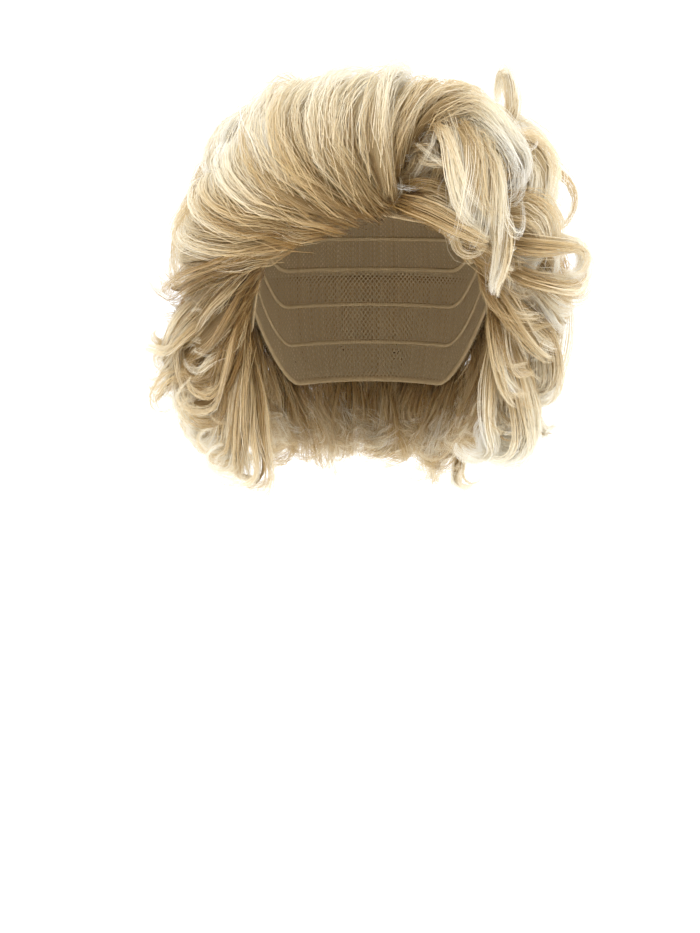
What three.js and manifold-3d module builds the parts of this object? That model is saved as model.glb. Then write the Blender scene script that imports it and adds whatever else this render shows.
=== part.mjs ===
// Short curly wig: a net cap and the groups of hair that are sewn to it.
// Millimetres, +Z up. The face opening looks along -Y and +X is the wearer's left.
// The origin is the inside top of the cap, where it sits on the crown of a head.

import * as THREE from 'three';
import { mergeVertices } from 'three/addons/utils/BufferGeometryUtils.js';
import Module from 'manifold-3d';

// Head form that the cap is made for: two half-ellipsoids that share one middle
const HEAD_HALF_WIDTH = 76;
const HEAD_HALF_LENGTH = 97;
const HEAD_ABOVE = 100;
const HEAD_BELOW = 125;
const HEAD_MIDDLE = new THREE.Vector3(0, 0, -HEAD_ABOVE);

// Net cap
const CAP_WALL = 1.8;
const CAP_SEGMENTS = 28;
const CAP_ROWS = 7;

// Elevation of the cap's rim, from the middle of the forehead (azimuth 0) to the nape (180), both sides alike
const RIM = [
  { place: 'forehead', az: 0, el: 29 },
  { place: 'corner of the hairline', az: 30, el: 26 },
  { place: 'temple', az: 50, el: 14 },
  { place: 'ear tab', az: 75, el: -10 },
  { place: 'over the ear', az: 98, el: -4 },
  { place: 'behind the ear', az: 135, el: -31 },
  { place: 'nape', az: 180, el: -31 },
];

// Sewn backing of each group of hair, a thin curved strip over the cap
const SEAT_GAP = 2.1;
const BACKING_THICKNESS = 2.6;
const BACKING_STEP = 14;
const RIM_MARGIN = 1.5;
const CROWN_EDGE = 53;
const CROWN_SEGMENTS = 14;
const CROWN_ROWS = 4;
const BACKINGS = [
  { zone: 'quiff', azFrom: -46, azTo: 12, elTop: 52 },
  { zone: 'fringe', azFrom: 12.6, azTo: 46, elTop: 52 },
  { zone: 'left_side', azFrom: 46.6, azTo: 110, elTop: 52 },
  { zone: 'right_side', azFrom: -110, azTo: -46.6, elTop: 52 },
  { zone: 'back', azFrom: 110.6, azTo: 249.4, elTop: 52, elLow: 2 },
  { zone: 'nape', azFrom: 110.6, azTo: 249.4, elTop: 1.4 },
];

// A lock leaves its root, rises over a crest, falls, and ends in a curl.
// Places on the head are azimuth and elevation in degrees and lift above the head in millimetres.
// A curl has a radius, a number of turns and a roll: 0 flips it outward and 180 turns it under.
const LOCK_COLUMNS = [
  'rootAz', 'rootEl', 'crestAz', 'crestEl', 'crestLift', 'fallAz', 'fallEl', 'fallLift',
  'curlRadius', 'curlTurns', 'curlRoll', 'width', 'thickness',
];

// One row for each fan: its first and last lock, how many there are, and how far they stray from an even fan
const FANS = [
  { zone: 'quiff', locks: 2, stray: 0,
    first: [10, 34, 1, 40, 47, 16, 58, 34, 26, 0.34, 110, 44, 18],
    last: [2, 31, -14, 38, 44, -2, 57, 34, 27, 0.34, 150, 42, 17] },
  { zone: 'quiff', locks: 6, stray: 0,
    first: [-3, 30, -26, 33, 40, -33, 53, 36, 26, 0.34, 175, 38, 17],
    last: [-41, 23, -62, 14, 27, -88, 11, 37, 18, 0.34, 180, 32, 15] },
  { zone: 'fringe', locks: 2, stray: 0,
    first: [15, 38, 17, 46, 44, 36, 52, 30, 24, 0.3, 180, 26, 14],
    last: [22, 41, 28, 46, 45, 54, 43, 37, 22, 0.34, 180, 26, 13] },
  { zone: 'fringe', locks: 2, stray: 0,
    first: [32, 40, 34, 40, 46, 33, 24, 42, 14, 0.8, 67, 22, 11],
    last: [38, 36, 42, 35, 43, 41, 22, 37, 13, 0.8, 107, 22, 10] },
  { zone: 'fringe', locks: 1, stray: 0,
    first: [13, 33, 23, 24.5, 24, 38, 16, 27, 12, 0.25, 217, 28, 14] },
  { zone: 'fringe', locks: 1, stray: 0,
    first: [40, 24, 46, 20, 30, 49, 4, 20, 30, 0.04, 160, 14, 9] },
  { zone: 'crown', locks: 1, stray: 0,
    first: [50, 57, 66, 41, 35, 70, 46, 60, 12, 0.62, 255, 16, 9] },
  { zone: 'crown', locks: 8, stray: 1,
    first: [46, 72, 50, 54, 34, 60, 36, 44, 18, 0.42, 180, 52, 20],
    last: [306, 72, 310, 54, 34, 320, 36, 44, 18, 0.42, 180, 52, 20] },
  { zone: 'left_side', locks: 2, stray: 0,
    first: [51, 35, 64, 34, 42, 71, 23, 38, 13, 0.5, 180, 28, 13],
    last: [52, 27, 63, 21, 33, 69, 14, 38, 12, 0.62, 180, 26, 12] },
  { zone: 'left_side', locks: 2, stray: 0,
    first: [57, 20, 63, 13, 30, 74, 10, 53, 12, 0.62, 147, 18, 8],
    last: [60, 13, 65, 4, 28, 73, 1, 49, 12, 0.3, 320, 18, 8] },
  { zone: 'left_side', locks: 2, stray: 0,
    first: [62, 9, 63, -2, 16, 74, -10, 34, 24, 0.08, 0, 26, 11],
    last: [68, 0, 62, -12, 8, 69, -22, 24, 20, 0.1, 0, 20, 10] },
  { zone: 'left_side', locks: 2, stray: 0,
    first: [74, 8, 81, 0, 27, 85, -5, 42, 9, 0.25, 0, 17, 9],
    last: [78, 0, 84, -8, 34, 86, -15, 47, 15, 0.62, 155, 26, 11] },
  { zone: 'left_side', locks: 2, stray: 0,
    first: [76, -6, 79, -20, 25, 82, -28, 42, 19, 0.6, 162, 40, 13],
    last: [73, -5, 68, -25, 10, 73, -34, 24, 15, 0.44, 164, 28, 12] },
  { zone: 'left_side', locks: 1, stray: 0,
    first: [94, 0, 98, -24, 40, 99, -26, 62, 14, 0.12, 0, 9, 6] },
  { zone: 'left_side', locks: 3, stray: 1,
    first: [66, 44, 78, 32, 32, 88, 18, 36, 13, 0.45, 180, 42, 17],
    last: [104, 40, 106, 24, 32, 110, 6, 44, 15, 0.5, 180, 42, 17] },
  { zone: 'left_side', locks: 2, stray: 1,
    first: [94, 16, 97, 0, 34, 100, -14, 50, 14, 0.5, 180, 38, 13],
    last: [105, 2, 106, -14, 32, 108, -28, 48, 14, 0.5, 180, 36, 13] },
  { zone: 'right_side', locks: 2, stray: 0,
    first: [-49, 19, -64, 9, 24, -93, 0, 44, 11, 0.3, 0, 24, 11],
    last: [-55, 15, -66, 2, 18, -92, -6, 42, 11, 0.28, 0, 22, 11] },
  { zone: 'right_side', locks: 2, stray: 0,
    first: [-60, 10, -68, -4, 18, -89, -12, 41, 14, 0.55, 20, 24, 12],
    last: [-66, 3, -68, -12, 16, -79, -22, 32, 13, 0.55, 15, 24, 12] },
  { zone: 'right_side', locks: 2, stray: 0,
    first: [-71, -3, -68, -22, 15, -82, -37, 40, 12, 0.55, 200, 20, 10],
    last: [-75, -5, -68, -28, 9, -71, -43, 25, 22, 0.28, 18, 13, 8] },
  { zone: 'right_side', locks: 3, stray: 0,
    first: [-72, 6, -86, -6, 33, -91, -11, 56, 13, 0.5, 160, 22, 11],
    last: [-80, -4, -91, -18, 40, -93, -25, 55, 15, 0.36, 170, 22, 11] },
  { zone: 'right_side', locks: 1, stray: 0,
    first: [-87, 2, -95, -12, 46, -96, -17, 66, 10, 0.3, 0, 18, 10] },
  { zone: 'right_side', locks: 3, stray: 1,
    first: [-66, 44, -80, 34, 32, -92, 20, 37, 13, 0.45, 180, 42, 17],
    last: [-104, 40, -106, 24, 32, -110, 6, 44, 15, 0.5, 180, 42, 17] },
  { zone: 'right_side', locks: 2, stray: 1,
    first: [-94, 16, -97, 0, 34, -100, -14, 50, 14, 0.5, 180, 38, 13],
    last: [-105, 2, -106, -14, 32, -108, -28, 48, 14, 0.5, 180, 36, 13] },
  { zone: 'back', locks: 5, stray: 1,
    first: [116, 42, 120, 26, 34, 126, 8, 46, 15, 0.5, 180, 48, 18],
    last: [242, 42, 246, 26, 34, 252, 8, 46, 17, 0.5, 180, 40, 16] },
  { zone: 'back', locks: 5, stray: 1,
    first: [118, 19, 114, 4, 32, 108, -9, 46, 15, 0.5, 170, 46, 18],
    last: [244, 19, 240, 4, 32, 234, -9, 46, 15, 0.5, 170, 46, 18] },
  { zone: 'nape', locks: 5, stray: 1,
    first: [116, -4, 120, -16, 28, 126, -28, 44, 14, 0.5, 180, 44, 17],
    last: [242, -4, 246, -16, 28, 252, -28, 44, 16, 0.5, 180, 36, 15] },
  { zone: 'nape', locks: 4, stray: 1,
    first: [134, -21, 131, -32, 20, 128, -41, 28, 13, 0.55, 180, 46, 15],
    last: [226, -21, 229, -32, 20, 232, -41, 28, 16, 0.5, 180, 34, 13] },
  { zone: 'nape', locks: 1, stray: 0,
    first: [127, -22, 122, -40, 24, 120, -49, 34, 10, 0.45, 60, 9, 7] },
  { zone: 'crown', locks: 2, stray: 0,
    first: [-30, 75, -28, 65, 26, -24, 53, 30, 16, 0.35, 180, 44, 16],
    last: [18, 75, 20, 65, 26, 24, 53, 30, 16, 0.35, 180, 44, 16] },
];

// How far a straying lock leaves its even place, by column
const STRAY = {
  rootEl: 3, crestAz: 5, crestEl: 4, crestLift: 4, fallAz: 7, fallEl: 4, fallLift: 5,
  curlRadius: 2, curlTurns: 0.06, curlRoll: 12,
};

// Body of a lock: sides of its section and the steps along its comb and its curl
const LOCK_SIDES = 5;
const COMB_STEPS = 4;
const CURL_STEPS_PER_TURN = 6;
const CURL_SHRINK = 0.25;
const CURL_PITCH = 0.35;
const ROUND_ARCH = 9;
const ROOT_WIDTH = 0.55;
const ROOT_OPENING = 1.6;
const TIP_WIDTH = 0.3;
const TAPER_START = 0.6;
const TAPER_POWER = 1.5;
const TIP_THINNING = 0.5;

// Space that a group of hair leaves to the one that was laid before it
const GROUP_GAP = 0.8;

// Finish of the pieces
const NET_COLOUR = 0xb99a6a;
const NET_ROUGHNESS = 0.9;
const HAIR_ROUGHNESS = 0.55;
const HAIR_COLOURS = {
  quiff: 0xe9d6a4, fringe: 0xe4cf9a, crown: 0xecdcb0, left_side: 0xe2cd9c,
  right_side: 0xdcc592, back: 0xdfca98, nape: 0xd6be8a,
};

const wasm = await Module();
wasm.setup();

const radians = THREE.MathUtils.degToRad;
const seatLift = CAP_WALL + SEAT_GAP;

// Point over the head form at an azimuth, an elevation and a lift
function onHead(az, el, lift) {
  const a = radians(az);
  const e = radians(el);
  const height = e > 0 ? HEAD_ABOVE : HEAD_BELOW;
  const radius = new THREE.Vector3(
    HEAD_HALF_WIDTH * Math.cos(e) * Math.sin(a),
    -HEAD_HALF_LENGTH * Math.cos(e) * Math.cos(a),
    height * Math.sin(e),
  );
  return radius.multiplyScalar(1 + lift / radius.length()).add(HEAD_MIDDLE);
}

// Moves a point that lies too close to the head out to the seat of the hair
function clearOfHead(point) {
  const radius = point.clone().sub(HEAD_MIDDLE);
  const height = radius.z > 0 ? HEAD_ABOVE : HEAD_BELOW;
  const share = Math.hypot(radius.x / HEAD_HALF_WIDTH, radius.y / HEAD_HALF_LENGTH, radius.z / height);
  const lift = radius.length() * (1 - 1 / share);
  if (lift < seatLift) {
    radius.multiplyScalar(1 + (seatLift - lift) / radius.length());
  }
  return radius.add(HEAD_MIDDLE);
}

function rimElevation(az) {
  const turn = Math.abs(THREE.MathUtils.euclideanModulo(az + 180, 360) - 180);
  const next = RIM.find((row) => row.az >= turn && row.az > 0);
  const last = RIM[RIM.indexOf(next) - 1];
  return THREE.MathUtils.lerp(last.el, next.el, THREE.MathUtils.smoothstep(turn, last.az, next.az));
}

// Turns a closed three.js geometry into a solid, with each vertex moved by the function given
function solid(geometry, move) {
  const position = geometry.getAttribute('position');
  const uv = geometry.getAttribute('uv');
  for (let i = 0; i < position.count; i += 1) {
    const at = new THREE.Vector3().fromBufferAttribute(position, i);
    const moved = move(at, uv.getX(i), uv.getY(i));
    position.setXYZ(i, moved.x, moved.y, moved.z);
  }
  geometry.deleteAttribute('normal');
  geometry.deleteAttribute('uv');
  const merged = mergeVertices(geometry);
  const corners = Array.from(merged.index.array);
  const kept = [];
  for (let i = 0; i < corners.length; i += 3) {
    const [a, b, c] = corners.slice(i, i + 3);
    if (a !== b && b !== c && c !== a) {
      kept.push(a, b, c);
    }
  }
  return new wasm.Manifold(new wasm.Mesh({
    numProp: 3,
    vertProperties: new Float32Array(merged.getAttribute('position').array),
    triVerts: new Uint32Array(kept),
  }));
}

// Domed shell between two lifts, from the crown down to an edge that may vary round the head
function dome(inner, outer, edgeAt, segments, rows) {
  const profile = [];
  for (let i = 0; i <= rows; i += 1) {
    profile.push(new THREE.Vector2(i / rows, inner));
  }
  for (let i = rows; i >= 0; i -= 1) {
    profile.push(new THREE.Vector2(i / rows, outer));
  }
  return solid(new THREE.LatheGeometry(profile, segments), (at, u) => {
    const az = 360 * u;
    const el = THREE.MathUtils.lerp(90, edgeAt(az), Math.hypot(at.x, at.z));
    return onHead(az, el, at.y);
  });
}

// Curved strip of backing over one stretch of the cap
function strip({ azFrom, azTo, elTop, elLow }, grow) {
  const margin = grow / Math.min(HEAD_HALF_WIDTH, HEAD_HALF_LENGTH) / radians(1);
  const steps = Math.ceil((azTo - azFrom) / BACKING_STEP);
  const azMiddle = (azFrom + azTo) / 2;
  const lowest = elLow ?? Math.min(...[azFrom, azMiddle, azTo].map(rimElevation));
  const rows = Math.ceil((elTop - lowest) / BACKING_STEP);
  return solid(new THREE.BoxGeometry(1, 1, 1, steps, 1, rows), (at) => {
    const az = THREE.MathUtils.lerp(azFrom - margin, azTo + margin, at.x + 0.5);
    const low = (elLow ?? rimElevation(az) + RIM_MARGIN) - margin;
    const el = THREE.MathUtils.lerp(low, elTop + margin, at.z + 0.5);
    const lift = THREE.MathUtils.lerp(seatLift - grow, seatLift + BACKING_THICKNESS + grow, 0.5 - at.y);
    return onHead(az, el, lift);
  });
}

// Round cap of backing on the crown, inside the strips
function crownBacking(grow) {
  const inner = seatLift - grow;
  const outer = seatLift + BACKING_THICKNESS + grow;
  return dome(inner, outer, () => CROWN_EDGE - grow, CROWN_SEGMENTS, CROWN_ROWS);
}

// Repeatable number from -1 to 1 for one lock and one of its columns
function stray(lock, column) {
  const wave = Math.sin(lock * 12.9898 + column * 78.233) * 43758.5453;
  return 2 * (wave - Math.floor(wave)) - 1;
}

// All locks of the table, each an object with the named columns
function combLocks() {
  const locks = [];
  FANS.forEach((fan, f) => {
    const last = fan.last ?? fan.first;
    for (let k = 0; k < fan.locks; k += 1) {
      const share = fan.locks > 1 ? k / (fan.locks - 1) : 0;
      const lock = { zone: fan.zone };
      LOCK_COLUMNS.forEach((name, column) => {
        const even = THREE.MathUtils.lerp(fan.first[column], last[column], share);
        lock[name] = even + fan.stray * (STRAY[name] ?? 0) * stray(10 * f + k, column);
      });
      locks.push(lock);
    }
  });
  return locks;
}

// Directions along a line of points, and normals carried along it without twist from the first one given
function carry(points, firstNormal) {
  const normal = firstNormal.clone();
  return points.map((point, i) => {
    const before = points[Math.max(i - 1, 0)];
    const after = points[Math.min(i + 1, points.length - 1)];
    const along = after.clone().sub(before).normalize();
    normal.addScaledVector(along, -normal.dot(along)).normalize();
    return { point, along, normal: normal.clone() };
  });
}

// Middle line of a lock: combed over its crest, then wound into its curl
function lockLine(lock) {
  const root = onHead(lock.rootAz, lock.rootEl, seatLift);
  const crest = onHead(lock.crestAz, lock.crestEl, lock.crestLift);
  const fall = onHead(lock.fallAz, lock.fallEl, lock.fallLift);
  const outward = root.clone().sub(HEAD_MIDDLE).normalize();
  const chord = fall.clone().sub(root);
  const rise = crest.clone().sub(root.clone().lerp(fall, 0.5)).multiplyScalar(4 / 3);
  const lean = Math.min(1 / 3, chord.length() / (ROUND_ARCH * rise.length()));
  const comb = new THREE.CubicBezierCurve3(
    root,
    root.clone().add(rise).addScaledVector(chord, lean),
    fall.clone().add(rise).addScaledVector(chord, -lean),
    fall,
  );
  const points = [];
  for (let i = 0; i <= COMB_STEPS; i += 1) {
    points.push(comb.getPoint(i / COMB_STEPS));
  }
  const sideways = new THREE.Vector3().crossVectors(points[1].clone().sub(root), outward).normalize();
  const firstNormal = outward.clone().addScaledVector(sideways, 1e-3);
  const end = carry(points, firstNormal).at(-1);
  const across = new THREE.Vector3().crossVectors(end.along, end.normal);
  const inward = end.normal.clone().multiplyScalar(Math.cos(radians(lock.curlRoll)));
  inward.addScaledVector(across, Math.sin(radians(lock.curlRoll)));
  const pitch = new THREE.Vector3().crossVectors(end.along, inward);
  const steps = Math.max(2, Math.round(CURL_STEPS_PER_TURN * lock.curlTurns));
  for (let i = 1; i <= steps; i += 1) {
    const share = i / steps;
    const turn = 2 * Math.PI * lock.curlTurns * share;
    const radius = lock.curlRadius * (1 - CURL_SHRINK * share);
    const point = fall.clone().addScaledVector(end.along, radius * Math.sin(turn));
    point.addScaledVector(inward, radius * (1 - Math.cos(turn)));
    point.addScaledVector(pitch, CURL_PITCH * lock.curlRadius * lock.curlTurns * share);
    points.push(point);
  }
  return carry(points, firstNormal);
}

// Full width in the middle of a lock, narrower at its root and drawn out to its tip
function lockTaper(share) {
  const opening = Math.min(1, ROOT_WIDTH + ROOT_OPENING * share);
  const closing = Math.max(0, (share - TAPER_START) / (1 - TAPER_START));
  return opening * (1 - (1 - TIP_WIDTH) * closing ** TAPER_POWER);
}

function lockSolid(lock, grow) {
  const line = lockLine(lock);
  const rings = line.length - 1;
  return solid(new THREE.SphereGeometry(1, LOCK_SIDES, rings), (at, u, v) => {
    const ring = Math.round((1 - v) * rings);
    const { point, along, normal } = line[ring];
    const side = new THREE.Vector3().crossVectors(normal, along);
    const taper = lockTaper(ring / rings);
    const halfWidth = taper * lock.width / 2;
    const halfThickness = taper * (1 - TIP_THINNING * ring / rings) * lock.thickness / 2;
    const moved = point.clone();
    if (ring === 0 || ring === rings) {
      moved.addScaledVector(along, ring === 0 ? -grow : grow);
    } else {
      moved.addScaledVector(side, -Math.cos(2 * Math.PI * u) * (halfWidth + grow));
      moved.addScaledVector(normal, Math.sin(2 * Math.PI * u) * (halfThickness + grow));
    }
    return clearOfHead(moved);
  });
}

// Backing and locks of one group, fused. The grown form is what a later group is cut back from.
function groupSolid(zone, locks, grow) {
  const backing = BACKINGS.find((row) => row.zone === zone);
  const base = backing ? strip(backing, grow) : crownBacking(grow);
  const own = locks.filter((lock) => lock.zone === zone);
  return own.reduce((sum, lock) => sum.add(lockSolid(lock, grow)), base);
}

// Largest single body, without loose ends that a cut may leave
function mainBody(form) {
  return form.decompose().reduce((best, one) => (one.volume() > best.volume() ? one : best));
}

function piece(name, form, colour, roughness) {
  const { vertProperties, triVerts } = form.getMesh();
  const geometry = new THREE.BufferGeometry();
  geometry.setAttribute('position', new THREE.BufferAttribute(vertProperties, 3));
  geometry.setIndex(new THREE.BufferAttribute(triVerts, 1));
  geometry.computeVertexNormals();
  const material = new THREE.MeshStandardMaterial({ color: colour, roughness, metalness: 0 });
  const mesh = new THREE.Mesh(geometry, material);
  mesh.name = name;
  return mesh;
}

const wig = new THREE.Group();
wig.name = 'short_curly_wig';
wig.add(piece('wig_cap', dome(0, CAP_WALL, rimElevation, CAP_SEGMENTS, CAP_ROWS), NET_COLOUR, NET_ROUGHNESS));

const locks = combLocks();
const taken = [];
for (const [zone, colour] of Object.entries(HAIR_COLOURS)) {
  const cut = taken.reduce((rest, room) => rest.subtract(room), groupSolid(zone, locks, 0));
  const body = mainBody(cut);
  wig.add(piece(zone, body, colour, HAIR_ROUGHNESS));
  taken.push(groupSolid(zone, locks, GROUP_GAP), body);
}

export default wig;
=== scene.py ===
# %% [markdown]
# # A short curly wig
# A machine-made wig is a net cap with rows of hair sewn round it. The solids already hold the cap and
# seven groups of locks at their true size and place. This lesson keeps those places and gives every group
# its look: combed bodies with grooves, and thousands of strands that follow the wisps of each lock.
# Lengths are metres, +Z is up, the face opening looks along -Y and +X is the wearer's left.

# %% Load the frame
import math

import bpy
import numpy as np
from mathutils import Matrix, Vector


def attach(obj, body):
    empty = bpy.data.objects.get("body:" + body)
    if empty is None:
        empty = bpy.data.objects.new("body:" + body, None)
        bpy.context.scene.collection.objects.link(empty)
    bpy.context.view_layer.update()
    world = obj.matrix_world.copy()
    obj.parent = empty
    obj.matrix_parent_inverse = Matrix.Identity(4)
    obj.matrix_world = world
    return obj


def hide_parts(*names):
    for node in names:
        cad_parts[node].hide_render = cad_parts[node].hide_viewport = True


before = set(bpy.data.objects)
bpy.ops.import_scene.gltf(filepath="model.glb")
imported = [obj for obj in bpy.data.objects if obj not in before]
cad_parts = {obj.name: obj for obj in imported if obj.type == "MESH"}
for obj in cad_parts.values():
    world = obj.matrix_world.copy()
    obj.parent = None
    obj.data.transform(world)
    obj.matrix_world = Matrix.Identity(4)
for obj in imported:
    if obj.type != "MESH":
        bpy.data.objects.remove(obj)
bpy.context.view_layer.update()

# %% [markdown]
# The picture is taken from a metre in front, at the height of the forehead, and looks down by about ten
# degrees. The focal length was measured in pixels. Blender wants millimetres on a 36 mm sensor, and that
# width lies along the long side of the picture, so one ratio turns pixels into millimetres.

# %% Camera
IMAGE_HEIGHT = 933
FOCAL_PIXELS = 1600
SENSOR_WIDTH = 36.0
CAMERA_PLACE = (-0.0125, -1.0, -0.04)
CAMERA_TILT = -9.74

scene = bpy.context.scene
lens = bpy.data.cameras.new("camera")
lens.sensor_width = SENSOR_WIDTH
lens.lens = FOCAL_PIXELS * SENSOR_WIDTH / IMAGE_HEIGHT
camera = bpy.data.objects.new("camera", lens)
camera.location = CAMERA_PLACE
camera.rotation_euler = (math.radians(90 + CAMERA_TILT), 0, 0)
scene.collection.objects.link(camera)
scene.camera = camera
print("lens of", round(lens.lens, 1), "mm")

# %% [markdown]
# Every finish below is a sum of patterns. Wiring nodes by hand hides such a sum, so one small class wraps
# a socket and lets Python's own signs add the Math nodes. Its node method makes any other node: settings
# first, then a value or a link for each socket. Colours are blended by a Mix node, which keeps their hue.

# %% Sockets that can be added and multiplied
class Wire:
    """A socket in a material's nodes that works in a Python expression."""

    def __init__(self, tree, socket=None):
        self.tree = tree
        self.socket = socket

    def node(self, kind, settings, sockets):
        made = self.tree.nodes.new("ShaderNode" + kind)
        for name, value in settings.items():
            if name == "stops":
                self.set_stops(made.color_ramp, value)
            else:
                setattr(made, name, value)
        for name, value in sockets.items():
            if isinstance(value, Wire):
                self.tree.links.new(value.socket, made.inputs[name])
            else:
                made.inputs[name].default_value = value
        return Wire(self.tree, made.outputs[0] if made.outputs else None)

    @staticmethod
    def set_stops(ramp, stops):
        while len(ramp.elements) < len(stops):
            ramp.elements.new(1)
        for element, (place, colour) in zip(ramp.elements, stops):
            element.position = place
            element.color = colour

    def output(self, name):
        return Wire(self.tree, self.socket.node.outputs[name])

    def math(self, operation, first, second=0):
        return self.node("Math", {"operation": operation}, {0: first, 1: second})

    def __add__(self, other):
        return self.math("ADD", self, other)

    def __sub__(self, other):
        return self.math("SUBTRACT", self, other)

    def __rsub__(self, other):
        return self.math("SUBTRACT", other, self)

    def __mul__(self, other):
        return self.math("MULTIPLY", self, other)

    def __pow__(self, other):
        return self.math("POWER", self, other)

    __radd__ = __add__
    __rmul__ = __mul__

    def blend(self, first, second):
        """Colour that goes from the first to the second as this value goes from 0 to 1."""
        mixed = self.node("Mix", {"data_type": "RGBA"}, {0: self, 6: first, 7: second})
        return Wire(self.tree, mixed.socket.node.outputs[2])


def new_finish(name):
    """A material with no nodes yet, and a wire to start them from."""
    finish = bpy.data.materials.new(name)
    finish.use_nodes = True
    finish.node_tree.nodes.clear()
    return finish, Wire(finish.node_tree)


def rgb(red, green, blue):
    return (red, green, blue, 1)


print("sockets ready for sums")

# %% [markdown]
# All shapes here are large arrays of points, and Blender takes such arrays fastest as whole blocks. One
# helper fills a mesh with points, faces and a few numbers for each point, which the finishes read back by
# name. It also lays out the map that a later bake uses.

# %% Meshes from arrays
def add_piece(name, points, faces, numbers, layout, finish):
    """A smooth mesh object. faces is a list of arrays, each with its own count of corners."""
    mesh = bpy.data.meshes.new(name)
    corners = np.concatenate([part.ravel() for part in faces]).astype(np.int32)
    sizes = np.concatenate([np.full(len(part), part.shape[1]) for part in faces])
    starts = np.concatenate([[0], np.cumsum(sizes)[:-1]]).astype(np.int32)
    mesh.vertices.add(len(points))
    mesh.vertices.foreach_set("co", points.astype(np.float32).ravel())
    mesh.loops.add(len(corners))
    mesh.loops.foreach_set("vertex_index", corners)
    mesh.polygons.add(len(sizes))
    mesh.polygons.foreach_set("loop_start", starts)
    mesh.polygons.foreach_set("use_smooth", np.ones(len(sizes), bool))
    mesh.update(calc_edges=True)
    for label, values in numbers.items():
        made = mesh.attributes.new(label, "FLOAT", "POINT")
        made.data.foreach_set("value", values.astype(np.float32).ravel())
    bake_map = mesh.uv_layers.new(name="OFBake")
    bake_map.data.foreach_set("uv", layout[corners].astype(np.float32).ravel())
    mesh.materials.append(finish)
    piece = bpy.data.objects.new(name, mesh)
    scene.collection.objects.link(piece)
    return piece


def triangles(faces):
    return sum(len(part) * (part.shape[1] - 2) for part in faces)


def length(vectors):
    return np.linalg.norm(vectors, axis=-1, keepdims=True)


def unit(vectors):
    return vectors / np.maximum(length(vectors), 1e-9)


print("mesh helpers ready")

# %% [markdown]
# The studio is a round white cove: a flat floor that curves up into a wall all round, so that no horizon
# shows from any side. The wig hangs in its worn place above the floor. A box room would show its corners,
# and a bare plane its edge.

# %% Floor and wall
FLOOR_LEVEL = -0.434
FLOOR_HUB = 0.02
FLOOR_RADIUS = 1.9
COVE_RADIUS = 0.9
WALL_TOP = 2.6
COVE_STEPS = 16
COVE_SEGMENTS = 72

chalk, start = new_finish("white_cove")
mottle = start.node("TexNoise", {}, {"Scale": 3.0, "Detail": 3.0})
start.node("OutputMaterial", {}, {"Surface": start.node("BsdfPrincipled", {}, {
    "Base Color": mottle.blend(rgb(0.86, 0.86, 0.86), rgb(0.90, 0.90, 0.90)),
    "Roughness": 0.95, "Emission Color": rgb(1, 1, 1), "Emission Strength": 0.22})})

bend = np.radians(np.linspace(0, 90, COVE_STEPS))
wall_radius = FLOOR_RADIUS + COVE_RADIUS
reach = np.concatenate([[FLOOR_HUB], FLOOR_RADIUS + COVE_RADIUS * np.sin(bend), [wall_radius]])
height = np.concatenate([[0], COVE_RADIUS * (1 - np.cos(bend)), [WALL_TOP]]) + FLOOR_LEVEL
turn = np.linspace(0, 2 * np.pi, COVE_SEGMENTS, endpoint=False)
cove_points = np.stack([
    reach[:, None] * np.cos(turn), reach[:, None] * np.sin(turn), np.repeat(height[:, None], len(turn), 1),
], -1)


def grid_faces(rows, columns, closed):
    """Quads of a grid of points that runs row by row. A closed grid joins its last column to its first."""
    row = np.arange(rows - 1)[:, None]
    column = np.arange(columns if closed else columns - 1)[None, :]
    after = (column + 1) % columns
    low = row * columns
    high = low + columns
    return np.stack([low + column, low + after, high + after, high + column], -1).reshape(-1, 4)


cove_faces = [grid_faces(len(reach), COVE_SEGMENTS, True)[:, ::-1], np.arange(COVE_SEGMENTS)[None, :]]
cove = add_piece("studio_cove", cove_points.reshape(-1, 3), cove_faces, {},
                 np.zeros((cove_points.size // 3, 2)), chalk)
print("floor at", FLOOR_LEVEL, "m")

# %% [markdown]
# Blond hair is bright on top and tan underneath, because most of the light comes from above. So one large
# soft light hangs over the front, a weaker one fills from the side, and one from behind makes the outer
# strands glow. The sky adds an even light for the shadows.

# %% Light
LIGHT_TARGET = Vector((0, 0, -0.08))
LIGHTS = [
    {"name": "key", "place": (-0.45, -1.15, 1.25), "size": 1.2, "power": 24},
    {"name": "fill", "place": (1.3, -1.0, 0.35), "size": 1.0, "power": 7},
    {"name": "back", "place": (0.3, 1.3, 1.1), "size": 1.0, "power": 14},
]
SKY_STRENGTH = 0.75

for row in LIGHTS:
    lamp = bpy.data.lights.new(row["name"] + "_light", "AREA")
    lamp.shape = "DISK"
    lamp.size = row["size"]
    lamp.energy = row["power"]
    light = bpy.data.objects.new(lamp.name, lamp)
    light.location = row["place"]
    light.rotation_euler = (LIGHT_TARGET - light.location).to_track_quat("-Z", "Y").to_euler()
    scene.collection.objects.link(light)

sky = bpy.data.worlds.new("studio_sky")
sky.use_nodes = True
sky.node_tree.nodes["Background"].inputs["Color"].default_value = rgb(1, 1, 1)
sky.node_tree.nodes["Background"].inputs["Strength"].default_value = SKY_STRENGTH
scene.world = sky
scene.view_settings.view_transform = "Standard"
print(len(LIGHTS), "lights")

# %% [markdown]
# The cap and the hair are placed on a head form: two half-ellipsoids with one middle. A place on it is an
# azimuth from the middle of the forehead, an elevation and a lift off the surface. Angles suit hair well,
# because a lock keeps its place on the head whatever its fullness. Hair also keeps a least lift, which
# leaves it outside the cap, and a most lift, which keeps stray strands near the wig.

# %% Head form
MM = 0.001
HEAD_HALF_WIDTH = 76 * MM
HEAD_HALF_LENGTH = 97 * MM
HEAD_ABOVE = 100 * MM
HEAD_BELOW = 125 * MM
HEAD_MIDDLE = np.array([0, 0, -HEAD_ABOVE])
SEAT_LIFT = 3.9 * MM
MOST_LIFT = 74 * MM


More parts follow.
